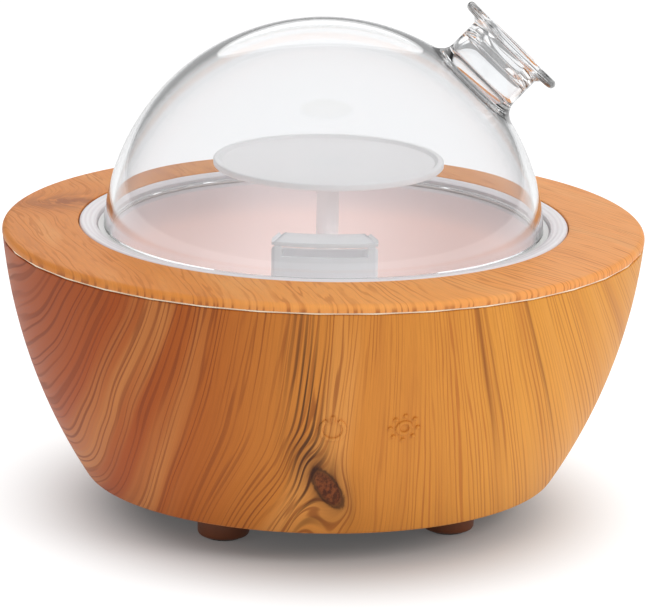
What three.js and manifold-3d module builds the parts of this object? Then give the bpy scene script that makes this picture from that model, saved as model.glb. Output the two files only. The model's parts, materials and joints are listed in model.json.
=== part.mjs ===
// Essential oil diffuser: a wood-look base, a water tank with an air duct and a mist shield, and a
// glass dome with an angled neck. Millimetres, +Z up. The origin is on the surface under the feet, on
// the body's axis, and the two touch icons face -Y.

import * as THREE from 'three';
import { mergeVertices } from 'three/addons/utils/BufferGeometryUtils.js';
import Module from 'manifold-3d';

const wasm = await Module();
wasm.setup();

// Body
const rimHeight = 91.3;
const undersideHeight = 10.9;
const crownRise = 1.2;
const topRadius = 100.7;
const sideArcRadius = 172.2;
const sideArcRise = 14.9;
const underRound = 2.8;
const edgeRound = 1.8;
const shellWall = 2.6;
const coverWall = 2.6;
const coverEdge = 2.4;
const coverSkirt = 5.5;
const seamThickness = 0.4;
const plateRadius = topRadius - 36.7;
const plateThickness = 2.4;
const flangeWidth = 4;
const flangeThickness = 2.4;

// Clearances: between faces that touch, and round pieces that slide in or are cut to fit
const seat = 0.1;
const fit = 0.3;

// Water tank
const tankRimRadius = topRadius - 24.2;
const tankRimThickness = 2.8;
const tankCollarDepth = 2.2;
const tankWall = 2.2;
const ledgeRadius = tankRimRadius - 5.5;
const ledgeDepth = 2.35;
const bowlRadius = ledgeRadius - 5.2;
const bowlFloorHeight = 45;
const bowlDepth = rimHeight - bowlFloorHeight;
const bowlFloorRadius = 30;
const socketHeight = 10;
const socketWall = 3;
const socketFloor = 1.5;
const rimChamfer = 0.7;

// Glass dome, from its centre
const domeRadius = ledgeRadius - 2;
const domeCentreDrop = 5;
const glassWall = 2.3;
const neckAngle = 44;
const neckRadius = 13.3;
const neckWall = 2;
const neckFillet = 5;
const mouthRadius = neckRadius - 5.1;
const mouthDepth = 6.6;
const mouthRound = 1.2;
const flangeReach = domeRadius + 15;
const neckFlangeRadius = neckRadius + 5.5;
const neckFlangeThickness = 3;
const sealThickness = 0.8;

// Mist shield
const shieldRadius = 36;
const shieldShift = 1.2;
const shieldRise = 17.9;
const shieldThickness = 2.2;
const stemRadius = 3.5;

// Air duct
const frontYaw = -8.65;
const ductWidth = 30.1;
const ductOuterReach = bowlRadius - 5.8;
const ductDepth = 12;
const ductWall = 1.4;
const stubWall = 1.2;
const ductRise = 7.6;
const ductSlotWidth = 26;
const ductSlotHeight = 3.1;
const ductStubRise = bowlDepth - 8.3;

// Touch icons
const iconHeight = 49.6;
const iconAngle = 6.78;
const iconRelief = 0.4;
const iconStroke = 1.2;
const powerRadius = 3.6;
const powerGap = 60;
const powerBar = [2.2, 4.9];
const sunRadius = 2;
const sunRays = 8;
const sunRay = [3.7, 4.9];

// Feet and case screws
const footRadius = 8.3;
const footReach = plateRadius - 14;
const footRound = 1.6;
const padRadius = 6;
const padThickness = 1.7;
const padProud = 0.6;
const postRadius = 4;
const postRun = 14;
const lightPostRadius = 2.6;
const smallHoleRadius = 1.3;
const caseScrewRadius = 1.5;
const caseScrewLength = 17;

// Fan
const fanReach = 36;
const fanSize = 40;
const fanThickness = 10;
const fanBoreRadius = 18.4;
const fanStandoff = 3.2;
const hubRadius = 10;
const bladeCount = 7;
const bladeTilt = 42;
const fanScrewHole = 1.5;
const pillarRadius = 3;
const grilleRows = [-2, -1, 0, 1, 2];
const grillePitch = 6;
const grilleSlot = 3;

// Ultrasonic transducer, whose boss keeps its outer reach
const discRadius = 10;
const discSeatWidth = 1.5;
const wellRadius = discRadius + 2;
const wellDepth = 3;
const transducerBossRadius = wellRadius + 5;
const transducerReach = 37 - transducerBossRadius;
const discThickness = 1.2;
const discSealThickness = 1.6;
const retainerThickness = 1.8;
const retainerBore = discRadius - 3.5;

// Electronics
const boardSize = [58, 38];
const boardThickness = 1.6;
const boardReach = 29;
const boardStandoff = 6;
const touchBoardSize = [38, 1.2, 14];
const touchGap = 5;
const touchPadRadius = 4;
const jackHeight = 25.5;
const jackRadius = 5.5;
const jackLength = 13;
const jackSocketRadius = 3.2;
const jackSocketDepth = 9;
const jackPinRadius = 1;
const jackNutRadius = 8;
const jackNutThickness = 2.4;
const jackBossWall = 3;
const jackRecess = 8;
const wireRadius = 0.8;
const lightStripHalf = 3.4;
const lightStripThickness = 1.4;
const lightStripEnds = [-25, 205];
const lightAngles = [22, 90, 158];

// Facets round a full turn
const roundSides = 36;
const domeSides = 36;
const smallSides = 14;
const screwSides = 8;
const jackSides = 24;
const transducerSides = 32;

// Finishes
const woodFinish = { color: 0xc8803f, roughness: 0.55, metalness: 0 };
const creamFinish = { color: 0xe8cf9f, roughness: 0.5, metalness: 0 };
const frostFinish = { color: 0xece4e4, roughness: 0.45, metalness: 0 };
const glassFinish = { color: 0xf2f6f8, roughness: 0.05, metalness: 0, transparent: true, opacity: 0.35 };
const siliconeFinish = { color: 0xf0efec, roughness: 0.6, metalness: 0 };
const footFinish = { color: 0x7a4526, roughness: 0.6, metalness: 0 };
const rubberFinish = { color: 0x2a2622, roughness: 0.9, metalness: 0 };
const plasticFinish = { color: 0x232325, roughness: 0.6, metalness: 0 };
const paleFinish = { color: 0xe9e6dd, roughness: 0.6, metalness: 0 };
const steelFinish = { color: 0xb4b6b8, roughness: 0.35, metalness: 0.9 };
const brassFinish = { color: 0xc9a24e, roughness: 0.3, metalness: 0.95 };
const boardFinish = { color: 0x1f6a3a, roughness: 0.5, metalness: 0 };
const aluminiumFinish = { color: 0xb9bcc0, roughness: 0.4, metalness: 0.8 };
const lightFinish = { color: 0xfff3c8, roughness: 0.25, metalness: 0 };
const wireFinish = { color: 0xb3261e, roughness: 0.5, metalness: 0 };

const diffuser = new THREE.Group();

const degrees = (angle) => THREE.MathUtils.degToRad(angle);
const chord = (radius, reach) => Math.sqrt(radius * radius - reach * reach);

function addPiece(name, geometry, finish, parent = diffuser) {
  const piece = new THREE.Mesh(geometry, new THREE.MeshStandardMaterial(finish));
  piece.name = name;
  parent.add(piece);
  return piece;
}

// Shared corners only, without the triangles that have no area.
function weld(geometry) {
  geometry.deleteAttribute('normal');
  geometry.deleteAttribute('uv');
  const welded = mergeVertices(geometry);
  const corners = welded.index.array;
  const kept = [];
  for (let i = 0; i < corners.length; i += 3) {
    const [a, b, c] = corners.slice(i, i + 3);
    if (a !== b && b !== c && c !== a) kept.push(a, b, c);
  }
  welded.setIndex(kept);
  welded.computeVertexNormals();
  return welded;
}

function toSolid(geometry) {
  const welded = weld(geometry.clone());
  return new wasm.Manifold(new wasm.Mesh({
    numProp: 3,
    vertProperties: new Float32Array(welded.attributes.position.array),
    triVerts: new Uint32Array(welded.index.array),
  }));
}

function toGeometry(solid) {
  const mesh = solid.getMesh();
  const geometry = new THREE.BufferGeometry();
  geometry.setAttribute('position', new THREE.BufferAttribute(mesh.vertProperties, 3));
  geometry.setIndex(new THREE.BufferAttribute(mesh.triVerts, 1));
  geometry.computeVertexNormals();
  return geometry;
}

const join = (first, ...others) =>
  toGeometry(others.reduce((solid, other) => solid.add(toSolid(other)), toSolid(first)));
const cut = (first, ...others) =>
  toGeometry(others.reduce((solid, other) => solid.subtract(toSolid(other)), toSolid(first)));
const overlapOf = (first, second) => toGeometry(toSolid(first).intersect(toSolid(second)));

// Turns an outline of [radius, height] corners, anticlockwise with the axis on its left, round Z.
function revolve(outline, sides = roundSides) {
  const corners = outline.map(([radius, height]) => new THREE.Vector2(radius, height));
  const touchesAxis = outline[0][0] === 0 && outline.at(-1)[0] === 0;
  if (!touchesAxis) corners.push(corners[0].clone());
  return weld(new THREE.LatheGeometry(corners, sides).rotateX(Math.PI / 2));
}

const disc = (radius, low, high, sides = smallSides) =>
  revolve([[0, low], [radius, low], [radius, high], [0, high]], sides);

const ring = (inner, outer, low, high, sides = roundSides) =>
  revolve([[inner, low], [outer, low], [outer, high], [inner, high]], sides);

function block(width, depth, low, high) {
  return new THREE.BoxGeometry(width, depth, high - low).translate(0, 0, (low + high) / 2);
}

function prism(shape, low, high) {
  const options = { depth: high - low, bevelEnabled: false, curveSegments: 8 };
  return weld(new THREE.ExtrudeGeometry(shape, options).translate(0, 0, low));
}

// Points on an arc, from one angle to another in degrees.
function arcPoints(centre, radius, from, to, steps) {
  return Array.from({ length: steps + 1 }, (_, i) => {
    const angle = degrees(from + ((to - from) * i) / steps);
    return [centre[0] + radius * Math.cos(angle), centre[1] + radius * Math.sin(angle)];
  });
}

function wire(points, radius) {
  const path = new THREE.CatmullRomCurve3(points.map((point) => new THREE.Vector3(...point)));
  const section = new THREE.Shape().absarc(0, 0, radius, 0, Math.PI * 2);
  const options = { steps: 14, bevelEnabled: false, curveSegments: 3, extrudePath: path };
  return weld(new THREE.ExtrudeGeometry(section, options));
}

// Side of the body: one arc from the top edge down to the rounded underside.
const topEdgeHeight = rimHeight - crownRise;
const sideArcHeight = topEdgeHeight + sideArcRise;
const sideArcCentre = topRadius - chord(sideArcRadius, sideArcRise);
const sideRadius = (height) => sideArcCentre + chord(sideArcRadius, sideArcHeight - height);
const innerRadius = (height) =>
  sideArcCentre + chord(sideArcRadius - shellWall, sideArcHeight - height);

const seamTop = topEdgeHeight - coverEdge;
const seamBottom = seamTop - seamThickness - 2 * seat;
const plateTop = undersideHeight + plateThickness;

function sidePoints(low, high, steps, radiusAt) {
  return Array.from({ length: steps + 1 }, (_, i) => {
    const height = low + ((high - low) * i) / steps;
    return [radiusAt(height), height];
  });
}

// Centre of a small arc that runs smoothly into the side arc, and the angle where it does.
function cornerOnSide(round, height) {
  const radius = sideArcCentre + chord(sideArcRadius - round, sideArcHeight - height);
  const angle = Math.atan2(height - sideArcHeight, radius - sideArcCentre);
  return { centre: [radius, height], angle: THREE.MathUtils.radToDeg(angle) };
}

// Side outline of the shell from the underside's rounded corner up to a height.
function outerSide(top, cornerSteps, sideSteps) {
  const corner = cornerOnSide(underRound, undersideHeight + underRound);
  const round = arcPoints(corner.centre, underRound, -90, corner.angle, cornerSteps);
  return [...round, ...sidePoints(round.at(-1)[1], top, sideSteps, sideRadius).slice(1)];
}

// Jack boss and bore run along Y through the sloping rear wall.
const jackFace = innerRadius(jackHeight - jackRadius) + shellWall;
const alongY = (geometry, height) => geometry.rotateX(-Math.PI / 2).translate(0, 0, height);

// Raised bar or ring of an icon, drawn in X and Y and stood on the shell's face at an angle.
function standOnFace(geometry, angle) {
  const slope = Math.asin((sideArcHeight - iconHeight) / sideArcRadius);
  const face = new THREE.Matrix4().makeRotationX(Math.PI / 2 + slope);
  geometry.translate(0, 0, -1).applyMatrix4(face);
  geometry.translate(0, -sideRadius(iconHeight), iconHeight);
  return geometry.rotateZ(degrees(angle));
}

function strokeBar(from, to) {
  const half = iconStroke / 2;
  const direction = new THREE.Vector2(...to).sub(new THREE.Vector2(...from));
  const turn = direction.angle();
  const bar = new THREE.Shape();
  bar.absarc(direction.length(), 0, half, -Math.PI / 2, Math.PI / 2);
  bar.absarc(0, 0, half, Math.PI / 2, (Math.PI * 3) / 2);
  return strokePrism(bar).rotateZ(turn).translate(from[0], from[1], 0);
}

function strokePrism(shape) {
  const options = { depth: 1 + iconRelief, bevelEnabled: false, curveSegments: 2 };
  return new THREE.ExtrudeGeometry(shape, options);
}

function strokeArc(radius, from, to) {
  const half = iconStroke / 2;
  const arc = new THREE.Shape();
  arc.absarc(0, 0, radius + half, degrees(from), degrees(to));
  arc.absarc(0, 0, radius - half, degrees(to), degrees(from), true);
  return new THREE.ExtrudeGeometry(arc, { depth: 1 + iconRelief, bevelEnabled: false, curveSegments: 8 });
}

function powerIcon() {
  const gapEnd = 90 + powerGap / 2;
  const arc = strokeArc(powerRadius, gapEnd, gapEnd + 360 - powerGap);
  const bar = strokeBar([0, powerBar[0]], [0, powerBar[1]]);
  const strokes = [arc, bar];
  return strokes.map((stroke) => standOnFace(stroke, -iconAngle));
}

function lightIcon() {
  const strokes = [strokeArc(sunRadius, 0, 180), strokeArc(sunRadius, 180, 360)];
  for (let i = 0; i < sunRays; i += 1) {
    const turn = (i * Math.PI * 2) / sunRays;
    const [from, to] = sunRay.map((reach) => [reach * Math.cos(turn), reach * Math.sin(turn)]);
    strokes.push(strokeBar(from, to));
  }
  return strokes.map((stroke) => standOnFace(stroke, iconAngle));
}

function makeBaseShell() {
  const openRadius = plateRadius + fit;
  const flangeBottom = plateTop + seat;
  const flangeTop = flangeBottom + flangeThickness;
  const outer = outerSide(seamBottom, 3, 6);
  const shell = revolve([
    [openRadius, undersideHeight],
    ...outer,
    ...sidePoints(seamBottom, flangeTop, 5, innerRadius),
    [openRadius - flangeWidth, flangeTop],
    [openRadius - flangeWidth, flangeBottom],
    [openRadius, flangeBottom],
  ]);
  const full = revolve([[0, undersideHeight], ...outer, [0, seamBottom]]);
  const bossSpan = [jackFace - jackLength / 2 + seat, sideRadius(jackHeight + jackRadius) + jackRecess];
  const boss = alongY(disc(jackRadius + jackBossWall, ...bossSpan, jackSides), jackHeight);
  const boreSpan = [bossSpan[0] - jackRecess, bossSpan[1] + jackRecess];
  const bore = alongY(disc(jackRadius + fit, ...boreSpan, jackSides), jackHeight);
  const solid = cut(join(shell, overlapOf(boss, full), ...powerIcon(), ...lightIcon()), bore);
  addPiece('base_shell', solid, woodFinish);
}

const skirtBottom = seamBottom - coverSkirt;
const skirtOuter = innerRadius(skirtBottom) - fit;
const coverHole = tankRimRadius + fit;
const shelfHeight = rimHeight - tankRimThickness - seat;
const shelfRadius = coverHole - 3.2;

function makeTopCover() {
  const corner = cornerOnSide(edgeRound, topEdgeHeight - edgeRound);
  const round = arcPoints(corner.centre, edgeRound, corner.angle, 90, 3);
  const edge = round.at(-1)[0];
  const crown = [0.33, 0.67, 1].map((share) => [
    edge + (coverHole - edge) * share,
    topEdgeHeight + crownRise * Math.sin((share * Math.PI) / 2),
  ]);
  const underside = topEdgeHeight - coverWall;
  const cover = revolve([
    [sideRadius(seamTop), seamTop],
    ...round,
    ...crown,
    [coverHole, shelfHeight],
    [shelfRadius, shelfHeight],
    [shelfRadius, shelfHeight - coverWall],
    [coverHole + coverWall, shelfHeight - coverWall],
    [coverHole + coverWall, underside],
    [skirtOuter - coverWall, underside],
    [skirtOuter - coverWall, skirtBottom],
    [skirtOuter, skirtBottom],
    [skirtOuter, seamTop],
  ]);
  addPiece('top_cover', cover, woodFinish);
}

function makeSeamRing() {
  const outer = sideRadius(seamBottom) - seat;
  const low = seamBottom + seat;
  addPiece('seam_ring', ring(skirtOuter + fit, outer, low, low + seamThickness), creamFinish);
}

// Places shared by the tank and what stands in it.
const ledgeHeight = rimHeight - ledgeDepth;
const bowlFloor = rimHeight - bowlDepth;
const bowlTop = ledgeHeight - rimChamfer;
const footAngles = [45, 135, 225, 315];

// Quarter-ellipse side of the bowl, offset outwards by a wall or inwards by a gap.
function bowlSide(offset, steps = 6) {
  const across = bowlRadius - bowlFloorRadius + offset;
  const down = bowlTop - bowlFloor + offset;
  return Array.from({ length: steps + 1 }, (_, i) => {
    const angle = (Math.PI / 2) * (1 - i / steps);
    return [bowlFloorRadius + across * Math.cos(angle), bowlTop - down * Math.sin(angle)];
  });
}

function bowlSpace(offset, top) {
  return [[0, bowlFloor - offset], ...bowlSide(offset), [bowlRadius + offset, top], [0, top]];
}

// Plan of the duct: a sector of a ring with parallel sides, drawn towards -Y.
function ductPlan(inset, halfWidth = ductWidth / 2 - inset) {
  const outer = ductOuterReach - inset;
  const inner = ductOuterReach - ductDepth + inset;
  const plan = new THREE.Shape();
  const outerTurn = Math.asin(halfWidth / outer);
  const innerTurn = Math.asin(halfWidth / inner);
  const forward = -Math.PI / 2;
  plan.absarc(0, 0, outer, forward - outerTurn, forward + outerTurn);
  plan.absarc(0, 0, inner, forward + innerTurn, forward - innerTurn, true);
  return plan;
}

const ductPrism = (inset, low, high, halfWidth) =>
  prism(ductPlan(inset, halfWidth), low, high).rotateZ(degrees(frontYaw));

const stubInset = ductWall + fit;
const boreInset = stubInset + stubWall;
const ductCollarBottom = bowlFloor - 2;
const ductStubTop = ductCollarBottom + ductStubRise;
const turnedToFront = (x, y) => new THREE.Vector2(x, y).rotateAround(new THREE.Vector2(), degrees(frontYaw));
const transducerPlace = turnedToFront(0, transducerReach);
const atTransducer = (geometry) => geometry.translate(transducerPlace.x, transducerPlace.y, 0);
const transducerBottom = bowlFloor - wellDepth - tankWall;
const retainerScrewReach = transducerBossRadius - 2.6;
const retainerAngles = [30, 150, 270];
const lightScrewAngles = [0, 180];
const lightBoardTop = bowlFloor - 7.6;
const lightRingRadius = footReach - postRadius - lightStripHalf - 2 * fit;

function atAngle(geometry, reach, angle) {
  return geometry.translate(reach * Math.cos(degrees(angle)), reach * Math.sin(degrees(angle)), 0);
}

// Copies of a shape at each foot, light-board screw or retainer screw.
const atAngles = (geometry, reach, angles) => angles.map((angle) => atAngle(geometry.clone(), reach, angle));
const onFeet = (geometry) => atAngles(geometry, footReach, footAngles);
const onLightScrews = (geometry) => atAngles(geometry, lightRingRadius, lightScrewAngles);
const onRetainerScrews = (geometry) =>
  atAngles(geometry, retainerScrewReach, retainerAngles).map((copy) => atTransducer(copy));
const stemBottom = bowlFloor + socketFloor + seat;

function makeWaterTank() {
  const collarRadius = shelfRadius - fit;
  const collarBottom = ledgeHeight - tankCollarDepth;
  const rimBottom = rimHeight - tankRimThickness;
  const outside = revolve([
    [0, bowlFloor - tankWall],
    ...bowlSide(tankWall).filter((point) => point[1] < collarBottom),
    [bowlRadius + tankWall, collarBottom],
    [collarRadius, collarBottom],
    [collarRadius, rimBottom],
    [tankRimRadius, rimBottom],
    [tankRimRadius, rimHeight - rimChamfer],
    [tankRimRadius - rimChamfer, rimHeight],
    [0, rimHeight],
  ]);
  const above = rimHeight + 5;
  const inside = revolve([
    [0, bowlFloor],
    ...bowlSide(0),
    [bowlRadius + 0.8, ledgeHeight],
    [ledgeRadius, ledgeHeight],
    [ledgeRadius + 0.2, rimHeight - 0.5],
    [ledgeRadius + 3.4, rimHeight],
    [ledgeRadius + 3.4, above],
    [0, above],
  ]);
  const posts = onFeet(disc(postRadius, plateTop + seat, bowlFloor + postRun));
  const lightPosts = onLightScrews(disc(lightPostRadius, lightBoardTop + seat, bowlFloor + postRun / 2));
  const boss = atTransducer(disc(transducerBossRadius, transducerBottom, bowlFloor + 1, transducerSides));
  const collar = ductPrism(stubInset, ductCollarBottom, bowlFloor + postRun);
  const postHole = disc(caseScrewRadius + fit, plateTop - 1, plateTop + caseScrewLength, screwSides);
  const lightHole = disc(smallHoleRadius, lightBoardTop - 1, lightBoardTop + 6, screwSides);
  const retainerHole = disc(smallHoleRadius, transducerBottom - 1, transducerBottom + 4, screwSides);
  const well = disc(wellRadius, bowlFloor - wellDepth, bowlFloor + wellDepth, transducerSides);
  const window = disc(discRadius - discSeatWidth, transducerBottom - 1, bowlFloor, transducerSides);
  const shaped = cut(
    join(outside, ...posts, ...lightPosts, boss, collar),
    inside,
    ...onFeet(postHole),
    ...onLightScrews(lightHole),
    ...onRetainerScrews(retainerHole),
    atTransducer(well),
    atTransducer(window),
  );
  const socket = cut(
    disc(stemRadius + socketWall, bowlFloor - 1, bowlFloor + socketHeight),
    disc(stemRadius + fit, stemBottom - seat, bowlFloor + socketHeight + 1),
  );
  socket.translate(shieldShift, 0, 0);
  const stub = ductPrism(stubInset, ductCollarBottom, ductStubTop);
  const bore = ductPrism(boreInset, ductCollarBottom - 1, ductStubTop + 1);
  addPiece('water_tank', cut(join(shaped, socket, stub), bore), frostFinish);
}

const ductTop = rimHeight + ductRise;
const ductBodyTop = ductTop - ductWall - seat;

function makeAirDuct() {
  const tube = cut(
    ductPrism(0, bowlFloor, ductBodyTop),
    ductPrism(ductWall, bowlFloor - 1, ductBodyTop + 1),
    ductPrism(-2, ductBodyTop - ductSlotHeight, ductBodyTop + 1, ductSlotWidth / 2),
  );
  const duct = overlapOf(tube, revolve(bowlSpace(-fit, ductTop)));
  addPiece('air_duct', duct, frostFinish);
}

function makeDuctCap() {
  const lid = ductPrism(0, ductTop - ductWall, ductTop);
  const tongue = cut(
    ductPrism(ductWall + seat, ductTop - ductWall - 5, ductTop - ductWall / 2),
    ductPrism(-2, ductTop - ductWall - 6, ductTop - ductWall, ductSlotWidth / 2 - 1),
  );
  addPiece('duct_cap', join(lid, tongue), frostFinish);
}

const shieldBottom = rimHeight + shieldRise;
const stemSocketDepth = 5;

function makeMistShield() {
  const rimTop = shieldBottom + shieldThickness;
  const web = shieldBottom + shieldThickness - 0.9;
  const socketRadius = stemRadius + fit;
  const shield = revolve([
    [0, shieldBottom - seat],
    [socketRadius, shieldBottom - seat],
    [socketRadius, shieldBottom - stemSocketDepth],
    [socketRadius + 2, shieldBottom - stemSocketDepth],
    [socketRadius + 2.8, shieldBottom],
    [shieldRadius - 0.8, shieldBottom],
    [shieldRadius, shieldBottom + 0.8],
    [shieldRadius, rimTop - 0.6],
    [shieldRadius - 0.6, rimTop],
    [shieldRadius - 1.6, rimTop],
    [shieldRadius - 2.6, web],
    [0, web],
  ]);
  addPiece('shield_disc', shield.translate(shieldShift, 0, 0), frostFinish);
  const stem = disc(stemRadius, stemBottom, shieldBottom - 2 * seat, 24);
  addPiece('shield_stem', stem.translate(shieldShift, 0, 0), frostFinish);
}

const domeCentre = rimHeight - domeCentreDrop;
const sealBottom = ledgeHeight + seat;
const domeFoot = sealBottom + sealThickness + seat;

// Turns a shape on the Z axis to the neck's direction from the dome's centre, towards +X.
const alongNeck = (geometry) => geometry.rotateY(degrees(neckAngle)).translate(0, 0, domeCentre);

function domeArc(radius, steps) {
  const foot = THREE.MathUtils.radToDeg(Math.asin((domeFoot - domeCentre) / radius));
  const points = arcPoints([0, domeCentre], radius, foot, 90, steps);
  points[steps][0] = 0;
  return points;
}

function makeGlassDome() {
  const cap = revolve([[0, domeFoot], ...domeArc(domeRadius, 8)], domeSides);
  const cavity = revolve([
    [0, domeFoot - 5],
    [chord(domeRadius - glassWall, domeFoot - domeCentre), domeFoot - 5],
    ...domeArc(domeRadius - glassWall, 8),
  ], domeSides);
  const flangeLow = flangeReach - neckFlangeThickness / 2;
  const flangeHigh = flangeReach + neckFlangeThickness / 2;
  const filletTop = chord(domeRadius, neckRadius + neckFillet) - 0.5 + neckFillet * 1.2;
  const neck = revolve([
    [0, domeRadius - 10],
    [neckRadius + neckFillet, domeRadius - 10],
    ...arcPoints([neckRadius + neckFillet, filletTop], neckFillet, 270, 180, 3),
    [neckRadius, flangeLow - 1.5],
    [neckRadius + 1.5, flangeLow],
    [neckFlangeRadius - 1, flangeLow + 0.3],
    [neckFlangeRadius, flangeLow + 1.4],
    [neckFlangeRadius, flangeHigh - 1.2],
    [neckFlangeRadius - 1.2, flangeHigh],
    [0, flangeHigh],
  ], 24);
  const neckBore = neckRadius - neckWall;
  const shoulder = flangeHigh - mouthDepth;
  const bore = revolve([
    [0, domeRadius - 20],
    [neckBore, domeRadius - 20],
    [neckBore, shoulder - 1],
    [neckBore - 1, shoulder],
    [mouthRadius, shoulder + 0.4],
    [mouthRadius, flangeHigh - mouthRound],
    [mouthRadius + mouthRound, flangeHigh + 0.01],
    [mouthRadius + mouthRound, flangeHigh + 5],
    [0, flangeHigh + 5],
  ], 24);
  const glass = cut(join(cap, alongNeck(neck)), cavity, alongNeck(bore));
  addPiece('glass_dome', glass, glassFinish);
}

function makeDomeSeal() {
  const seal = ring(bowlRadius + 1, ledgeRadius - fit, sealBottom, sealBottom + sealThickness);
  addPiece('dome_seal', seal, siliconeFinish);
}

const fanPlace = turnedToFront(0, -fanReach);
const fanBottom = plateTop + fanStandoff;
const fanTop = fanBottom + fanThickness;
const fanScrewReach = fanSize / 2 - 3.5;
const boardBottom = plateTop + boardStandoff;
const boardTop = boardBottom + boardThickness;
const boardScrewPlaces = [[-boardSize[0] / 2 + 4, boardReach - 12], [boardSize[0] / 2 - 4, boardReach + 12]];
const inFan = (geometry) => geometry.rotateZ(degrees(frontYaw)).translate(fanPlace.x, fanPlace.y, 0);
const fanScrewPlaces = [[-fanScrewReach, -fanScrewReach], [fanScrewReach, fanScrewReach]];

// Copies of a shape at each fan or board screw.
const onFanScrews = (geometry) => fanScrewPlaces.map(([x, y]) => inFan(geometry.clone().translate(x, y, 0)));
const onBoardScrews = (geometry) => boardScrewPlaces.map(([x, y]) => geometry.clone().translate(x, y, 0));

function makeBottomPlate() {
  const plate = disc(plateRadius, undersideHeight, plateTop, roundSides);
  const pillarLow = undersideHeight + plateThickness / 2;
  const fanPillar = disc(pillarRadius, pillarLow, fanBottom - seat);
  const boardPillar = disc(pillarRadius, pillarLow, boardBottom - seat);
  const fanHole = disc(smallHoleRadius, pillarLow + 0.5, fanBottom + 1, screwSides);
  const boardHole = disc(smallHoleRadius, pillarLow + 0.5, boardBottom + 1, screwSides);
  const screwHole = disc(caseScrewRadius + fit, undersideHeight - 1, plateTop + 1, screwSides);
  const slots = grilleRows.map((row) => {
    const reach = row * grillePitch;
    const slot = block(2 * chord(fanBoreRadius, reach), grilleSlot, undersideHeight - 1, plateTop + 1);
    return inFan(slot.translate(0, reach, 0));
  });
  const solid = cut(
    join(plate, ...onFanScrews(fanPillar), ...onBoardScrews(boardPillar)),
    ...onFanScrews(fanHole),
    ...onBoardScrews(boardHole),
    ...onFeet(screwHole),
    ...slots,
  );
  addPiece('bottom_plate', solid, plasticFinish);
}

const screw = (radius, headRadius, headHeight, length) => revolve([
  [0, -headHeight],
  [headRadius * 0.8, -headHeight],
  [headRadius, -headHeight * 0.6],
  [headRadius, 0],
  [radius, 0],
  [radius, length - radius * 0.8],
  [radius * 0.3, length],
  [0, length],
], screwSides);

// Shank radius, head radius and head height of each kind of screw.
const caseScrew = [caseScrewRadius, 3, 2.2];
const boardScrew = [1.1, 2.2, 1.4];
const finePitchScrew = [1, 2, 1.3];

function makeFeet() {
  const footTop = undersideHeight - seat;
  const recessTop = padThickness + seat;
  const headSeat = recessTop + 2.6;
  footAngles.forEach((angle, i) => {
    const foot = revolve([
      [padRadius + fit, padProud],
      [footRadius - footRound, padProud],
      ...arcPoints([footRadius - footRound, padProud + footRound], footRound, -60, 0, 2),
      [footRadius, footTop],
      [caseScrewRadius + fit, footTop],
      [caseScrewRadius + fit, headSeat],
      [3.3, headSeat],
      [3.3, recessTop],
      [padRadius + fit, recessTop],
    ], 16);
    addPiece(`foot_${i + 1}`, atAngle(foot, footReach, angle), footFinish);
    const pad = revolve([
      [0, 0],
      [padRadius - 0.4, 0],
      [padRadius, 0.4],
      [padRadius, padThickness],
      [0, padThickness],
    ], 16);
    addPiece(`foot_pad_${i + 1}`, atAngle(pad, footReach, angle), rubberFinish);
    const fixing = screw(...caseScrew, caseScrewLength).translate(0, 0, headSeat - seat);
    addPiece(`case_screw_${i + 1}`, atAngle(fixing, footReach, angle), steelFinish);
  });
}

const hubSeatTop = fanBottom + 2;

function makeFan() {
  const frameBlock = block(fanSize, fanSize, fanBottom, fanTop);
  const tunnel = disc(fanBoreRadius, fanBottom - 1, fanTop + 1, 36);
  const arms = [0, 120, 240].map((angle) =>
    block(fanBoreRadius + 1, 3, fanBottom, hubSeatTop)
      .translate(fanBoreRadius / 2 + 0.5, 0, 0)
      .rotateZ(degrees(angle)));
  const screwHole = disc(fanScrewHole, fanBottom - 1, fanTop + 1, screwSides);
  const screwHoles = fanScrewPlaces.map(([x, y]) => screwHole.clone().translate(x, y, 0));
  const frame = cut(
    join(cut(frameBlock, tunnel), disc(hubRadius - 1, fanBottom, hubSeatTop), ...arms),
    ...screwHoles,
  );
  addPiece('fan_frame', inFan(frame), plasticFinish);

  const motorTop = hubSeatTop + 5;
  const motor = ring(1.3, hubRadius - 2.5, hubSeatTop + seat, motorTop, smallSides);
  addPiece('fan_motor', inFan(motor), brassFinish);

  const cupTop = fanTop - 0.6;
  const cup = revolve([
    [hubRadius - 1.6, hubSeatTop + 0.8],
    [hubRadius, hubSeatTop + 0.8],
    [hubRadius, cupTop - 0.6],
    [hubRadius - 0.6, cupTop],
    [1.2, cupTop],
    [1.2, cupTop - 1.6],
    [hubRadius - 1.6, cupTop - 1.6],
  ], 28);
  const bladeReach = fanBoreRadius - 0.8 - hubRadius;
  const blades = Array.from({ length: bladeCount }, (_, i) =>
    new THREE.BoxGeometry(bladeReach + 1, 1, 7)
      .rotateX(degrees(bladeTilt))
      .translate(hubRadius + bladeReach / 2 - 0.5, 0, (hubSeatTop + cupTop) / 2 + 0.4)
      .rotateZ((i * Math.PI * 2) / bladeCount));
  addPiece('fan_impeller', inFan(join(cup, ...blades)), plasticFinish);
  addPiece('fan_shaft', inFan(disc(1, hubSeatTop + 0.4, cupTop - 0.1, screwSides)), steelFinish);

  fanScrewPlaces.forEach(([x, y], i) => {
    const fixing = screw(...boardScrew, fanThickness + fanStandoff).rotateX(Math.PI);
    addPiece(`fan_screw_${i + 1}`, inFan(fixing.translate(x, y, fanTop + seat)), steelFinish);
  });
}

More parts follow.
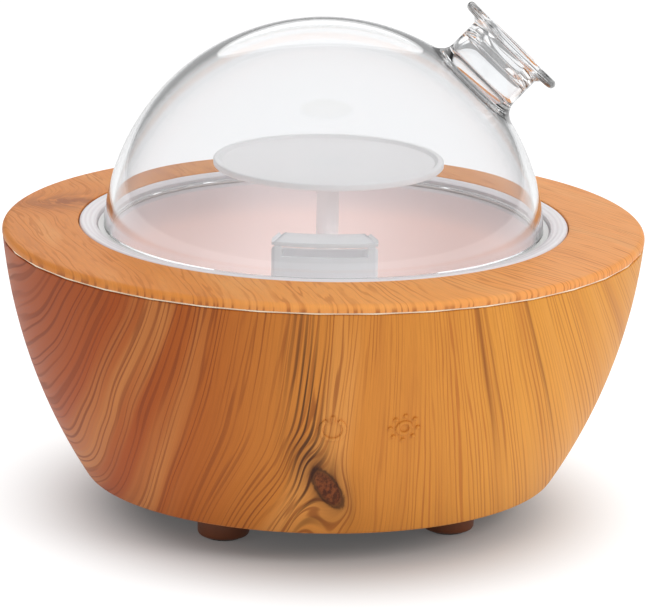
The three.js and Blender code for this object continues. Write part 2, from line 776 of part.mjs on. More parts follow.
// Carries the fan's air forward and up to the bottom of the duct.
function makeAirFunnel() {
  const low = fanTop + 2.2;
  const high = low + 8;
  const wall = 1.4;
  const fanY = ductOuterReach - fanReach;
  const outer = [
    block(fanSize - 6, fanSize - 6, low, high),
    block(ductWidth, ductDepth, low, ductCollarBottom - seat).translate(0, -fanY + ductDepth / 2, 0),
  ];
  const inner = [
    block(fanSize - 6 - 2 * wall, fanSize - 6 - 2 * wall, low - 1, high - wall),
    block(ductWidth - 2 * wall - 2, ductDepth - 2 * wall, low - 1, ductCollarBottom + 1)
      .translate(0, -fanY + ductDepth / 2, 0),
  ];
  addPiece('air_funnel', inFan(cut(join(...outer), ...inner)), plasticFinish);
}

function makeTransducer() {
  const sealLow = transducerBottom - discSealThickness;
  const sealSpan = [discRadius - discSeatWidth, discRadius + discSeatWidth];
  const sealBand = ring(...sealSpan, sealLow, transducerBottom - seat, transducerSides);
  addPiece('disc_seal', atTransducer(sealBand), siliconeFinish);
  const discTop = sealLow - seat;
  const discLow = discTop - discThickness;
  addPiece('ultrasonic_disc', atTransducer(disc(discRadius, discLow, discTop, transducerSides)), brassFinish);
  const plateHigh = discLow - seat;
  const plateLow = plateHigh - retainerThickness;
  const hole = disc(smallHoleRadius, plateLow - 1, plateHigh + 1, screwSides);
  const plate = ring(retainerBore, transducerBossRadius, plateLow, plateHigh, transducerSides);
  addPiece('disc_retainer', cut(atTransducer(plate), ...onRetainerScrews(hole)), paleFinish);
  const fixing = screw(...finePitchScrew, retainerThickness + 5.7).translate(0, 0, plateLow - seat);
  onRetainerScrews(fixing).forEach((copy, i) => addPiece(`retainer_screw_${i + 1}`, copy, steelFinish));
}

function makeMainBoard() {
  const hole = disc(fanScrewHole, boardBottom - 1, boardTop + 1, screwSides);
  const board = block(...boardSize, boardBottom, boardTop).translate(0, boardReach, 0);
  addPiece('main_board', cut(board, ...onBoardScrews(hole)), boardFinish);
  boardScrewPlaces.forEach(([x, y], i) => {
    const fixing = screw(...boardScrew, boardStandoff).rotateX(Math.PI);
    addPiece(`board_screw_${i + 1}`, fixing.translate(x, y, boardTop + seat), steelFinish);
  });

  const low = boardTop + seat;
  const inductor = revolve([
    [0, low],
    [6, low],
    [6, low + 1.6],
    [4, low + 2.2],
    [4, low + 7.4],
    [6, low + 8],
    [6, low + 9.6],
    [0, low + 9.6],
  ], smallSides);
  addPiece('inductor', inductor.translate(-12, boardReach - 4, 0), plasticFinish);
  const capacitor = revolve([
    [0, low],
    [3.6, low],
    [4, low + 0.8],
    [3.6, low + 1.6],
    [4, low + 2.2],
    [4, low + 10.6],
    [3.6, low + 11],
    [0, low + 11],
  ], smallSides);
  addPiece('capacitor', capacitor.translate(-1, boardReach + 10, 0), plasticFinish);

  const fins = [-2, -1, 0, 1, 2].map((row) => block(1.2, 10, low, low + 10.5).translate(row * 3, 0, 0));
  const sink = join(block(14.4, 2, low, low + 10.5).translate(0, -4, 0), ...fins);
  addPiece('heat_sink', sink.translate(14, boardReach - 2, 0), aluminiumFinish);
  addPiece('transistor', block(8, 3.6, low, low + 9).translate(14, boardReach - 9.2, 0), plasticFinish);
  const plugs = { fan_plug: [-22, boardReach + 4], disc_plug: [25, boardReach - 12] };
  Object.entries(plugs).forEach(([name, [x, y]]) => {
    const plug = cut(block(7, 6, low, low + 6), block(5, 4, low + 2, low + 7));
    addPiece(name, plug.translate(x, y, 0), paleFinish);
  });
}

const touchTilt = Math.asin((sideArcHeight - iconHeight) / sideArcRadius);

// Flat board behind the sloping front wall, with a sprung pad behind each icon.
function makeTouchBoard() {
  const holder = new THREE.Group();
  holder.position.set(0, -innerRadius(iconHeight), iconHeight);
  holder.rotation.x = touchTilt;
  diffuser.add(holder);
  const board = new THREE.BoxGeometry(...touchBoardSize).translate(0, touchGap + touchBoardSize[1] / 2, 0);
  addPiece('touch_board', board, boardFinish, holder);
  const reach = innerRadius(iconHeight);
  const padX = reach * Math.sin(degrees(iconAngle));
  const sag = reach - chord(reach, padX + touchPadRadius);
  ['power', 'light'].forEach((name, i) => {
    const pad = disc(touchPadRadius, -touchGap + seat, -sag - 0.5)
      .rotateX(Math.PI / 2)
      .translate(i ? padX : -padX, 0, 0);
    addPiece(`touch_pad_${name}`, pad, steelFinish, holder);
  });
}

function makeLights() {
  const arc = new THREE.Shape();
  const [start, end] = lightStripEnds.map(degrees);
  arc.absarc(0, 0, lightRingRadius + lightStripHalf, start, end);
  arc.absarc(0, 0, lightRingRadius - lightStripHalf, end, start, true);
  const lightStripLow = lightBoardTop - lightStripThickness;
  const options = { depth: lightStripThickness, bevelEnabled: false, curveSegments: 14 };
  const strip = new THREE.ExtrudeGeometry(arc, options).translate(0, 0, lightStripLow);
  const hole = disc(smallHoleRadius, lightStripLow - 1, lightBoardTop + 1, screwSides);
  addPiece('light_board', cut(strip, ...onLightScrews(hole)), boardFinish);
  lightScrewAngles.forEach((angle, i) => {
    const fixing = screw(...finePitchScrew, lightStripThickness + 4.6).translate(0, 0, lightStripLow - seat);
    addPiece(`light_screw_${i + 1}`, atAngle(fixing, lightRingRadius, angle), steelFinish);
  });
  lightAngles.forEach((angle, i) => {
    const low = lightBoardTop + seat;
    const light = revolve([
      [0, low],
      [2.8, low],
      [2.8, low + 1],
      [2.4, low + 1],
      [2.4, low + 3.4],
      [1.7, low + 4.6],
      [0, low + 5],
    ], 16);
    addPiece(`light_${i + 1}`, atAngle(light, lightRingRadius, angle), lightFinish);
  });
}

function makeJack() {
  const back = jackFace - jackLength;
  const flangeLow = back - 2;
  const socketLow = jackFace - jackSocketDepth;
  const barrel = cut(
    join(disc(jackRadius, back, jackFace, jackSides), disc(jackRadius + 1.4, flangeLow, back, 6)),
    disc(jackSocketRadius, socketLow, jackFace + 1),
  );
  addPiece('dc_jack', alongY(barrel, jackHeight), plasticFinish);
  const pin = disc(jackPinRadius, socketLow + seat, jackFace - 1, screwSides);
  addPiece('jack_pin', alongY(pin, jackHeight), steelFinish);
  const nutLow = back + 2;
  const nut = cut(
    disc(jackNutRadius, nutLow, nutLow + jackNutThickness, 6),
    disc(jackRadius + fit, nutLow - 1, nutLow + jackNutThickness + 1, jackSides),
  );
  addPiece('jack_nut', alongY(nut, jackHeight), steelFinish);
}

function makeWires() {
  const boardRear = boardReach + boardSize[1] / 2;
  const jackBack = jackFace - jackLength - 2;
  const routes = {
    jack_wire: [
      [0, jackBack - 0.5, jackHeight],
      [2, jackBack - 6, jackHeight + 1],
      [6, boardRear, boardTop + 4],
      [6, boardRear - 3, boardTop + 1.2],
    ],
    fan_wire: [
      [-22, boardReach + 4, boardTop + 6.8],
      [-26, boardReach - 6, boardTop + 8],
      [-30, boardReach - 26, fanBottom + 7],
      [-28, -12, fanBottom + 5],
      [-27, -22, fanBottom + 5],
    ],
    disc_wire: [
      [25, boardReach - 12, boardTop + 7],
      [22, boardReach - 11.5, transducerBottom - 8.3],
      [12, 18.5, transducerBottom - 6.4],
      [transducerPlace.x + 2, transducerPlace.y, transducerBottom - 5.4],
      [transducerPlace.x + 1, transducerPlace.y, transducerBottom - 3.8],
    ],
  };
  Object.entries(routes).forEach(([name, points]) => addPiece(name, wire(points, wireRadius), wireFinish));
}

makeBaseShell();
makeTopCover();
makeSeamRing();
makeBottomPlate();
makeWaterTank();
makeAirDuct();
makeDuctCap();
makeMistShield();
makeGlassDome();
makeDomeSeal();
makeFeet();
makeFan();
makeAirFunnel();
makeTransducer();
makeMainBoard();
makeTouchBoard();
makeLights();
makeJack();
makeWires();

export default diffuser;
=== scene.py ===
import json
import math

import bpy
from mathutils import Matrix, Vector


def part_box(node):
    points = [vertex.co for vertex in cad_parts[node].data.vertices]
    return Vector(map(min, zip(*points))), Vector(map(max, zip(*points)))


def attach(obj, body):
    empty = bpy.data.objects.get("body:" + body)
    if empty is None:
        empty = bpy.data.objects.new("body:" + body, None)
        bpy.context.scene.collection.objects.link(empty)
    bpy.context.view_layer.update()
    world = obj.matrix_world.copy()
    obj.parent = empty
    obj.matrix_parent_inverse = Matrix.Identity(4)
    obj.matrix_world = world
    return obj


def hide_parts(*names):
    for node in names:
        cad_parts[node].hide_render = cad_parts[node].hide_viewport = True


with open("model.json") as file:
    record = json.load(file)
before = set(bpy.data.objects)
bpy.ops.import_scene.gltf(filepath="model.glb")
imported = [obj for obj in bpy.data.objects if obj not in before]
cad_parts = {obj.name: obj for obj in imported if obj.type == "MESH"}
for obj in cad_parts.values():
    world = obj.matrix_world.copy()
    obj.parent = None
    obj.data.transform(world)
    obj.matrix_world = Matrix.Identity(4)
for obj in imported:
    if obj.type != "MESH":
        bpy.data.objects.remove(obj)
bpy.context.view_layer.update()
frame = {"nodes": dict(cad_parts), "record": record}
mm = 0.001
print("frame loaded")


cameraPlan = {"azimuth": -9.19, "elevation": 14.598, "roll": 1.08, "distance": 1.8, "lens": 319.4,
              "aimHeight": 0.06376, "aimSide": 0.00015}


def placeCamera(plan):
    turn, lift = math.radians(plan["azimuth"]), math.radians(plan["elevation"])
    roll = math.radians(plan["roll"])
    back = Vector((math.sin(turn) * math.cos(lift), -math.cos(turn) * math.cos(lift), math.sin(lift)))
    right = Vector((math.cos(turn), math.sin(turn), 0))
    up = back.cross(right)
    leanRight = right * math.cos(roll) + up * math.sin(roll)
    leanUp = up * math.cos(roll) - right * math.sin(roll)
    aim = right * plan["aimSide"] + Vector((0, 0, plan["aimHeight"]))
    data = bpy.data.cameras.new("camera")
    data.lens = plan["lens"]
    data.sensor_width = 36
    data.clip_start, data.clip_end = 0.05, 60
    camera = bpy.data.objects.new("camera", data)
    bpy.context.collection.objects.link(camera)
    axes = Matrix((leanRight, leanUp, back)).transposed().to_4x4()
    camera.matrix_world = Matrix.Translation(aim + back * plan["distance"]) @ axes
    bpy.context.scene.camera = camera


placeCamera(cameraPlan)
bpy.context.scene.view_settings.view_transform = "Standard"

lightPlan = {
    "overhead": {"at": (0.1, 0.1, 1.5), "size": 1.5, "power": 7.0, "mirrored": False},
    "frontRight": {"at": (1.1, -1.1, 0.95), "size": 0.8, "power": 10.5, "mirrored": False},
    "frontLeft": {"at": (-1.3, -1.0, 0.7), "size": 0.7, "power": 2.2, "mirrored": False},
    "behind": {"at": (0.2, 1.5, 0.9), "size": 1.2, "power": 3.6},
}


def placeLights(plan):
    middle = Vector((0, 0, 0.07))
    for name, facts in plan.items():
        data = bpy.data.lights.new(name, "AREA")
        data.shape = "DISK"
        data.size = facts["size"]
        data.energy = facts["power"]
        lamp = bpy.data.objects.new(name, data)
        bpy.context.collection.objects.link(lamp)
        lamp.visible_glossy = lamp.visible_transmission = facts.get("mirrored", True)
        lamp.location = facts["at"]
        lamp.rotation_mode = "QUATERNION"
        lamp.rotation_quaternion = (middle - lamp.location).to_track_quat("-Z", "Y")


placeLights(lightPlan)


class Wire:
    def __init__(self, finish, socket):
        self.finish, self.socket = finish, socket

    def calc(self, operation, *terms):
        return self.finish.calc(operation, *terms)

    def __add__(self, other):
        return self.calc("ADD", self, other)

    def __sub__(self, other):
        return self.calc("SUBTRACT", self, other)

    def __rsub__(self, other):
        return self.calc("SUBTRACT", other, self)

    def __mul__(self, other):
        return self.calc("MULTIPLY", self, other)

    def __truediv__(self, other):
        return self.calc("DIVIDE", self, other)

    def __rtruediv__(self, other):
        return self.calc("DIVIDE", other, self)

    def __pow__(self, other):
        return self.calc("POWER", self, other)

    def __neg__(self):
        return self.calc("MULTIPLY", self, -1)

    def __abs__(self):
        return self.calc("ABSOLUTE", self)

    __radd__ = __add__
    __rmul__ = __mul__


class Finish:
    def __init__(self, name, **surface):
        self.material = bpy.data.materials.new(name)
        self.material.use_nodes = True
        self.tree = self.material.node_tree
        self.shader = self.tree.nodes["Principled BSDF"]
        for socket, value in surface.items():
            self.shader.inputs[socketNames[socket]].default_value = value
        place = self.add("TexCoord", output=3)
        self.place = self.add("VectorMath", {"operation": "SCALE"}, {0: place, "Scale": 1 / mm})
        self.x, self.y, self.z = [self.add("SeparateXYZ", values={0: self.place}, output=i) for i in range(3)]

    def add(self, kind, settings=None, values=None, output=0):
        node = self.tree.nodes.new("ShaderNode" + kind)
        for key, value in (settings or {}).items():
            setattr(node, key, value)
        for key, value in (values or {}).items():
            if isinstance(value, Wire):
                self.tree.links.new(value.socket, node.inputs[key])
            else:
                node.inputs[key].default_value = value
        return Wire(self, node.outputs[output])

    def calc(self, operation, *terms):
        return self.add("Math", {"operation": operation}, dict(enumerate(terms)))

    def noise(self, x, y, z, detail=2.0, roughness=0.5):
        at = self.add("CombineXYZ", values={0: x, 1: y, 2: z})
        return self.add("TexNoise", values={"Vector": at, "Scale": 1.0, "Detail": detail, "Roughness": roughness})

    def ease(self, value, low, high, fromHigh=0.0, toHigh=1.0):
        return self.add("MapRange", {"interpolation_type": "SMOOTHSTEP"},
                        {0: value, 1: low, 2: high, 3: fromHigh, 4: toHigh})

    def blend(self, share, first, second):
        return self.add("Mix", {"data_type": "RGBA"}, {0: share, 6: first, 7: second}, output=2)

    def tone(self, colour, factor):
        grey = self.add("CombineXYZ", values={0: factor, 1: factor, 2: factor})
        return self.add("VectorMath", {"operation": "MULTIPLY"}, {0: colour, 1: grey})

    def bell(self, value, middle, spread):
        away = (value - middle) / spread
        return self.calc("EXPONENT", -(away * away))

    def feed(self, **links):
        for socket, wire in links.items():
            self.tree.links.new(wire.socket, self.shader.inputs[socketNames[socket]])

    def bump(self, height, distance, strength=1.0):
        self.feed(normal=self.add("Bump", values={"Strength": strength, "Distance": distance, "Height": height}))


socketNames = {"colour": "Base Color", "roughness": "Roughness", "metallic": "Metallic", "normal": "Normal",
               "specular": "Specular IOR Level", "coat": "Coat Weight", "coatRoughness": "Coat Roughness",
               "glass": "Transmission Weight", "ior": "IOR", "subsurface": "Subsurface Weight",
               "subsurfaceScale": "Subsurface Scale", "subsurfaceRadius": "Subsurface Radius",
               "emission": "Emission Color", "emissionStrength": "Emission Strength"}


def paint(red, green, blue):
    linear = [v / 255 / 12.92 if v < 10.31 else ((v / 255 + 0.055) / 1.055) ** 2.4 for v in (red, green, blue)]
    return (*linear, 1)


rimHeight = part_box("top_cover")[1].z / mm
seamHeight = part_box("seam_ring")[0].z / mm
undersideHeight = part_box("base_shell")[0].z / mm

# left, middle and right are the side's colours across x; the darker left is partly the film's own tone and partly
# painted shade
woodPlan = {
    "left": paint(163, 74, 16), "middle": paint(205, 130, 52), "right": paint(220, 150, 60),
    "line": paint(112, 46, 18), "softLine": paint(168, 92, 40), "pale": paint(232, 166, 94),
    "knot": paint(70, 28, 14), "knotRim": paint(42, 18, 12), "knotInside": paint(128, 66, 34),
    "knotAt": (-10.6, 28.5), "knotSize": (3.6, 7.0), "knotLean": 0.5, "zoneSize": (6.5, 13.0), "zoneRise": 3,
    "bendSize": (6.5, 12), "bendShare": 0.8, "fan": 0.0032, "fanMore": 0.0036, "fanAtKnot": 1.27, "spread": 10.0,
    "lineGap": 1.75, "fineGap": 1.05, "tightGap": 1.75, "jitter": 3.4, "tightJitter": 1.3,
    "wanderScale": 0.014, "topWander": 8, "sideWander": 2.5, "leftWander": 7,
    "ringPatch": (-77.0, 33.0), "patchSize": (15, 10), "patchTwist": 12, "patchPush": 4,
    "flameAt": -21.5, "flameTop": 90, "flameLean": 0.075, "flameWidth": 5.5,
    "streaks": ((31.0, 0.7, 1.0), (46.5, 0.55, 0.8), (33.4, 0.4, 0.6)),
}


def topGrain(wood, plan, wander):
    # straight grain across the ring, pushed aside at one darker patch
    x, y, z = wood.x, wood.y, wood.z
    lean = 0.12 + wood.ease(x, -20, 95) * 0.5
    along = x + y * lean + wander * plan["topWander"]
    patchX, patchY = plan["ringPatch"]
    patchWide, patchDeep = plan["patchSize"]
    push = wood.calc("EXPONENT", -(((x - patchX) / patchWide) ** 2 + ((y - patchY) / patchDeep) ** 2))
    twist = wood.noise(x * 0.07, y * 0.07, z * 0.01, detail=2)
    along = along + push * (twist * plan["patchTwist"] + plan["patchPush"])
    return along, y * 0.02, push


def sideGrain(wood, plan, wander, facing, leanX, leanZ):
    # grain that fans out below the rim and bends round the knot
    x, y, z = wood.x, wood.y, wood.z
    down = wood.calc("MAXIMUM", rimHeight - z, 0)
    fan = plan["fan"] + wood.ease(x, -30, 40) * plan["fanMore"]
    along = x / (1 + fan * down)
    farLeft = wood.ease(-x, 42, 80)
    along = along + wander * (farLeft * plan["leftWander"] + plan["sideWander"])
    spread = wood.ease(z, 4, 50, plan["spread"], 0.0) * wood.ease(x, -20, -5, 1.0, 0.0) * wood.ease(x, -62, -30)
    along = along + spread * facing
    bendWide, bendHigh = plan["bendSize"]
    push = wood.calc("EXPONENT", -((leanX / bendWide) ** 2 + (leanZ / bendHigh) ** 2)) * facing
    centre = plan["knotAt"][0] / plan["fanAtKnot"]
    along = (along - centre) * (1 - push * plan["bendShare"]) + centre
    return along, z * 0.012 + y * 0.01


def topMarks(wood, plan, colour, along, push, shape, lines):
    x, y, z = wood.x, wood.y, wood.z
    colour = wood.blend(lines * 0.6, colour, plan["softLine"])
    patch = push * wood.ease(wood.noise(along * 0.25, y * 0.12, 1.5, detail=3), 0.28, 0.6)
    colour = wood.blend(patch * 0.8, colour, plan["line"])
    # painted shade: colour and grain lines darken along the cover's rounded edge down to the seam, less on the lit
    # right side
    rimShadeBand = wood.ease(z, seamHeight + 0.8, rimHeight - 1.7, 1.0, 0.0)
    rimShadeShare = rimShadeBand * (shape * 0.5 + 0.18) * wood.ease(x, 0, 85, 1.0, 0.45)
    return wood.blend(rimShadeShare, colour, plan["line"])


def sideMarks(wood, plan, colour, along, jitter, lines, facing, leanX, leanZ):
    # the flame above the knot, the knot itself, then a few long dark streaks at the right
    x, z = wood.x, wood.z
    flameAt = plan["flameAt"] + (plan["flameTop"] - z) * plan["flameLean"]
    flame = wood.bell(x, flameAt, plan["flameWidth"]) * wood.ease(z, 6, 34, 0.35, 1.0)
    flame = flame * wood.ease(z, 62, 92, 1.0, 0.45) * facing
    tight = wood.calc("SINE", (along / plan["tightGap"] + jitter * plan["tightJitter"]) * (2 * math.pi))
    # grain lines are darker and stronger at the left than at the right: partly the film's print, partly painted
    # shade like the base colour
    lineColour = wood.blend(wood.ease(x, -30, 24), plan["line"], plan["softLine"])
    colour = wood.blend(lines * wood.ease(x, -45, 30, 0.66, 0.58), colour, lineColour)
    colour = wood.blend(wood.ease(tight, -0.1, 0.95) * flame * 0.85, colour, plan["knotRim"])
    zoneWide, zoneHigh = plan["zoneSize"]
    zone = (leanX / zoneWide) ** 2 + ((leanZ - plan["zoneRise"]) / zoneHigh) ** 2
    zoneShare = wood.calc("EXPONENT", -zone) * facing
    ragged = wood.noise(along * 0.9, z * 0.08, 4.4, detail=3)
    colour = wood.blend(zoneShare * wood.ease(ragged, 0.25, 0.7, 1.0, 0.5), colour, plan["knot"])
    knotWide, knotHigh = plan["knotSize"]
    mottle = wood.noise(x * 0.8, leanX * 0.3, z * 0.5, detail=4, roughness=0.7)
    heart = (leanX / knotWide) ** 2 + (leanZ / knotHigh) ** 2 + (mottle - 0.5) * 0.9
    inside = wood.ease(heart, 0.5, 1.1, 1.0, 0.0) * facing
    knotTone = wood.blend(wood.ease(mottle, 0.4, 0.62), plan["knot"], plan["knotInside"])
    colour = wood.blend(inside * 0.85, colour, knotTone)
    colour = wood.blend(wood.bell(heart, 1.0, 0.3) * facing * 0.75, colour, plan["knotRim"])
    streaks = sum(wood.bell(along, at, wide) * share for at, wide, share in plan["streaks"])
    return wood.blend(streaks * 0.62 * wood.ease(z, 22, 70) * facing, colour, plan["line"])


def woodBase(name, plan, onTop):
    wood = Finish(name, roughness=0.5, specular=0.2)
    x, y, z = wood.x, wood.y, wood.z
    scale = plan["wanderScale"]
    wander = wood.noise(x * scale, y * scale, z * scale, detail=1.5) - 0.5
    if onTop:
        along, run, push = topGrain(wood, plan, wander)
    else:
        facing = wood.ease(-y, 20, 50)
        knotX, knotZ = plan["knotAt"]
        leanZ = z - knotZ
        leanX = (x - knotX) + leanZ * plan["knotLean"]
        along, run = sideGrain(wood, plan, wander, facing, leanX, leanZ)
    gap = plan["fineGap"] + (plan["lineGap"] - plan["fineGap"]) * (1 - wood.ease(x, -34, 6))
    jitter = wood.noise(along * 0.3, run * 1.4, 3.1, detail=2, roughness=0.6)
    wave = wood.calc("SINE", (along / gap + jitter * plan["jitter"]) * (2 * math.pi))
    shape = wood.ease(wave, 0.2, 1.0)
    broad = wood.noise(along * 0.1, run * 0.8, 7.7, detail=2)
    group = wood.noise(along * 0.22, run * 1.6, 13.3, detail=2)
    fibre = wood.noise(along * 3.4, run * 9, 21.9, detail=2, roughness=0.65)
    # colour runs from dark red-brown at the left to golden at the right: partly the film's own tone, partly painted
    # shade on the left side away from the key light
    colour = wood.blend(wood.ease(x, -72, -4), plan["left"], plan["middle"])
    colour = wood.blend(wood.ease(x, -10, 66), colour, plan["right"])
    colour = wood.blend(wood.ease(broad, 0.5, 0.76) * 0.42, colour, plan["pale"])
    colour = wood.blend(wood.ease(broad, 0.24, 0.46, 0.4, 0.0), colour, plan["softLine"])
    lines = shape * wood.ease(group, 0.3, 0.68, 0.12, 1.0)
    if onTop:
        colour = topMarks(wood, plan, colour, along, push, shape, lines)
    else:
        colour = sideMarks(wood, plan, colour, along, jitter, lines, facing, leanX, leanZ)
    colour = wood.tone(colour, fibre * 0.3 + 0.85)
    wood.feed(colour=colour, roughness=fibre * 0.14 + lines * 0.08 + 0.42)
    wood.bump(fibre * 0.5 - lines, 0.00008, 0.5)
    return wood.material


def moulded(name, colour, second, grain=0.35, **surface):
    made = Finish(name, **surface)
    cloud = made.noise(made.x * 0.05, made.y * 0.05, made.z * 0.05, detail=3)
    speck = made.noise(made.x * grain * 6, made.y * grain * 6, made.z * grain * 6, detail=1)
    made.feed(colour=made.blend(made.ease(cloud, 0.3, 0.7), colour, second),
              roughness=speck * 0.1 + (surface.get("roughness", 0.4) - 0.05))
    made.bump(speck, 0.00003, 0.3)
    return made.material


# the pink tint and the grey ring tint are painted: shade and a painted reflection of the wood in the bowl, shade in
# the ring's grooves
tankLook = {"plain": paint(246, 241, 243), "reflectedWarmShade": paint(240, 214, 208), "grooveShade": paint(214, 202, 206),
            "ridgeGap": 1.5, "ringFrom": (66.8, 67.6), "bowlTo": (64.5, 66.2),
            "dark": (0, 0, 0, 1), "glow": (0.22, 0.19, 0.18, 1)}


def tankFinish(look):
    # the bowl's faint glow stands in for light that passes through the frosted plastic
    tank = Finish("tankPlastic", roughness=0.42, specular=0.45, subsurface=0.2, subsurfaceScale=0.004,
                  subsurfaceRadius=(1, 0.8, 0.75), emissionStrength=1.0)
    x, y, z = tank.x, tank.y, tank.z
    radius = (x * x + y * y) ** 0.5
    ridge = tank.calc("SINE", radius * (2 * math.pi / look["ridgeGap"]))
    onRing = tank.ease(radius, *look["ringFrom"])
    inBowl = tank.ease(radius, *look["bowlTo"], 1.0, 0.0)
    # painted shade and painted reflection of the wood: a pink-brown tint strongest on the bowl's rear upper wall and
    # its sides
    rearUpper = tank.ease(y * 0.6 + z * 0.5, 10, 70)
    sides = tank.ease(abs(x), 10, 60)
    reflectedWarmShade = inBowl * (rearUpper * 0.55 + sides * 0.35 + 0.15)
    colour = tank.blend(reflectedWarmShade, look["plain"], look["reflectedWarmShade"])
    # painted shade in the troughs of the ring's fine ridges
    colour = tank.blend(onRing * tank.ease(ridge, -1, 1, 0.35, 0.0), colour, look["grooveShade"])
    tank.feed(colour=colour, roughness=tank.noise(x, y, z, detail=1) * 0.1 + 0.38,
              emission=tank.blend(inBowl, look["dark"], look["glow"]))
    tank.bump(ridge * onRing, 0.00006, 0.6)
    return tank.material


def frostedFinish(name, colour, second, glow=0.0):
    # glow is a faint white emission: painted light standing in for light passing through the frosted plastic
    frosted = Finish(name, emissionStrength=glow, roughness=0.38, specular=0.5, subsurface=0.35,
                     subsurfaceScale=0.006, subsurfaceRadius=(1, 0.9, 0.9))
    cloud = frosted.noise(frosted.x * 0.06, frosted.y * 0.06, frosted.z * 0.06, detail=2)
    grit = frosted.noise(frosted.x * 4, frosted.y * 4, frosted.z * 4, detail=1)
    frosted.feed(colour=frosted.blend(cloud, colour, second), roughness=grit * 0.12 + 0.3)
    frosted.bump(grit, 0.00003, 0.35)
    return frosted.material


def glassFinish():
    glass = Finish("blownGlass", glass=1.0, ior=1.45, roughness=0.0)
    # painted shade: the glass is tinted grey where it is seen edge-on, standing in for darker surroundings reflected
    # and refracted at its rims
    edge = glass.add("LayerWeight", values={"Blend": 0.3}, output=1)
    colour = glass.blend(glass.ease(edge, 0.4, 0.98), paint(246, 247, 248), paint(138, 143, 146))
    glass.feed(colour=colour)
    ripple = glass.noise(glass.x * 0.03, glass.y * 0.03, glass.z * 0.03, detail=1)
    glass.bump(ripple, 0.0004, 0.12)
    # shadow rays pass straight through, so the glass doesn't darken the bowl
    clear = glass.add("BsdfTransparent", values={0: paint(254, 254, 254)})
    isShadow = glass.add("LightPath", output=1)
    output = glass.tree.nodes["Material Output"]
    mixed = glass.add("MixShader", values={0: isShadow, 1: Wire(glass, glass.shader.outputs[0]), 2: clear})
    glass.tree.links.new(mixed.socket, output.inputs["Surface"])
    return glass.material


def metalFinish(name, colour, roughness):
    metal = Finish(name, metallic=1.0, roughness=roughness)
    brushed = metal.noise(metal.x * 0.8, metal.y * 0.8, metal.z * 6, detail=2)
    metal.feed(colour=metal.blend(brushed, colour, tuple(v * 0.75 for v in colour[:3]) + (1,)),
               roughness=brushed * 0.2 + roughness - 0.1)
    metal.bump(brushed, 0.00002, 0.3)
    return metal.material


def boardFinish():
    board = Finish("circuitBoard", roughness=0.35, coat=0.3, coatRoughness=0.2)
    grid = board.add("TexBrick", values={"Vector": board.place, "Scale": 0.35, "Mortar Size": 0.03,
                                         "Color1": paint(20, 92, 58), "Color2": paint(24, 104, 64),
                                         "Mortar": paint(58, 150, 96)})
    board.feed(colour=grid, roughness=board.noise(board.x, board.y, board.z) * 0.2 + 0.25)
    board.bump(board.noise(board.x * 2, board.y * 2, board.z * 2), 0.00003, 0.3)
    return board.material


finishes = {
    "wood": woodBase("woodSide", woodPlan, False),
    # the cover's wood is a lighter copy of the side's: painted light on the upward-facing top, with its own wider
    # grain
    "litWoodTop": woodBase("litWoodTop", {**woodPlan, "left": paint(226, 142, 66), "middle": paint(242, 164, 88),
                                    "right": paint(244, 164, 92), "line": paint(150, 78, 36),
                                    "softLine": paint(196, 118, 62), "pale": paint(242, 180, 116),
                                    "lineGap": 2.4, "fineGap": 1.5}, True),
    "tank": tankFinish(tankLook),
    # the frosted plastic and the duct get a faint painted glow
    "frosted_plastic": frostedFinish("frostedPlastic", paint(247, 246, 247), paint(252, 251, 252), 0.07),
    "cream_trim": moulded("creamTrim", paint(244, 222, 190), paint(250, 234, 208), roughness=0.35),
    "duct": frostedFinish("ductPlastic", paint(244, 244, 246), paint(250, 250, 252), 0.1),
    "clear_glass": glassFinish(),
    "silicone": frostedFinish("silicone", paint(230, 228, 226), paint(240, 238, 236)),
    "brown_plastic": moulded("brownPlastic", paint(112, 60, 30), paint(128, 70, 36), roughness=0.45),
    "black_rubber": moulded("blackRubber", paint(30, 29, 28), paint(40, 38, 36), roughness=0.75),
    "dark_plastic": moulded("darkPlastic", paint(34, 34, 36), paint(44, 44, 46), roughness=0.45),
    "pale_plastic": moulded("palePlastic", paint(224, 222, 216), paint(234, 232, 228), roughness=0.45),
    "steel": metalFinish("steel", paint(190, 192, 196), 0.32),
    "brass": metalFinish("brass", paint(206, 168, 92), 0.3),
    "circuit_board": boardFinish(),
    "aluminium_fins": metalFinish("aluminium", paint(176, 180, 186), 0.42),
    "light_lens": frostedFinish("lightLens", paint(248, 246, 232), paint(252, 250, 240)),
    "red_wire": moulded("redWire", paint(168, 30, 26), paint(186, 40, 34), roughness=0.4),
}
print("finishes made")


weld = 2e-6
wholeTurn = 2 * math.pi


def deselect():
    if bpy.context.mode != "OBJECT":
        bpy.ops.object.mode_set(mode="OBJECT")
    bpy.ops.object.select_all(action="DESELECT")


def activate(piece):
    deselect()
    piece.select_set(True)
    bpy.context.view_layer.objects.active = piece


def cornered(points, steps=5):
    # each point is (radius, height, rounding); a rounding turns the corner into an arc
    outline = []
    for i, (r, h, rounding) in enumerate(points):
        corner = Vector((r, h))
        if not rounding:
            outline.append(corner)
            continue
        before, after = Vector(points[i - 1][:2]), Vector(points[(i + 1) % len(points)][:2])
        inward, onward = (before - corner).normalized(), (after - corner).normalized()
        half = math.acos(max(-1, min(1, inward.dot(onward)))) / 2
        reach = rounding / math.tan(half)
        centre = corner + (inward + onward).normalized() * (rounding / math.sin(half))
        first, last = corner + inward * reach - centre, corner + onward * reach - centre
        turn = first.angle_signed(last)
        for k in range(steps + 1):
            outline.append(centre + Matrix.Rotation(-turn * k / steps, 2) @ first)
    return outline


